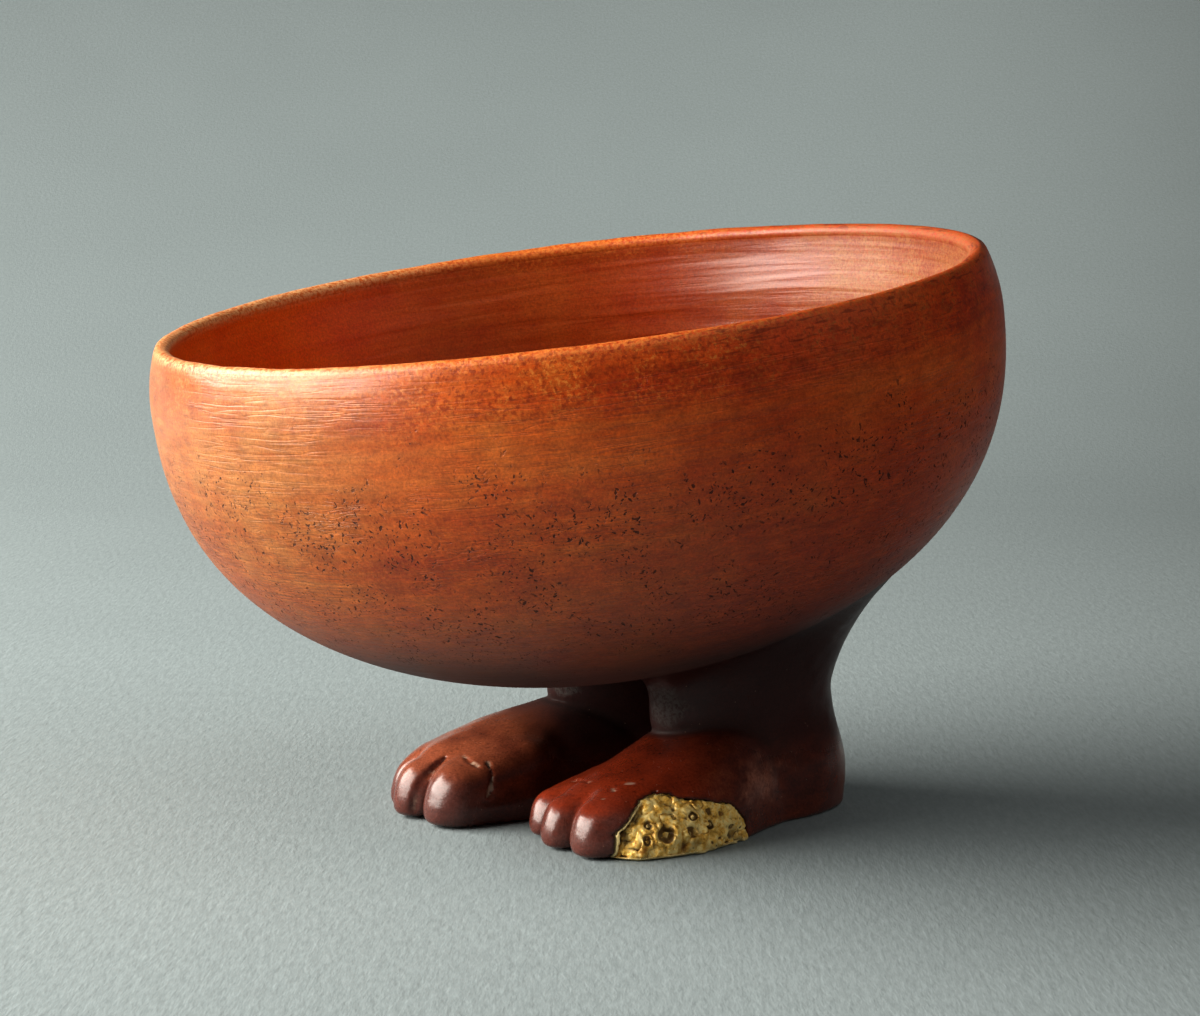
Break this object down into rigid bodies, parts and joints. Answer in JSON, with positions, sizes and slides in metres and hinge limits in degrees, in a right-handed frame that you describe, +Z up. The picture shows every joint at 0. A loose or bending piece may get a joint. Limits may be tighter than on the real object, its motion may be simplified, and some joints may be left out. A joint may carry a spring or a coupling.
{
  "type": "footed bowl",
  "caption": "Burnished red-brown clay bowl that leans forward on short legs with human feet, one foot mended with a gold-coloured fill.",
  "frame": {"origin": "on the floor, under the middle of the vessel's bounding box", "axes": "+Z up from the soles, -Y the way the toes point and the bowl leans, +X the vessel's left side, with the mended foot"},
  "size_m": [0.134, 0.1334, 0.0949],
  "materials": {
    "burnished_clay": "satin",
    "dark_burnished_clay": "satin",
    "fired_slip": "matte",
    "gilded_fill": "satin"
  },
  "bodies": {
    "root": {"bowl": "burnished_clay", "left_foot": "dark_burnished_clay", "right_foot": "dark_burnished_clay", "left_slip_joint": "fired_slip", "right_slip_joint": "fired_slip", "toe_mend": "gilded_fill"}
  },
  "joints": []
}
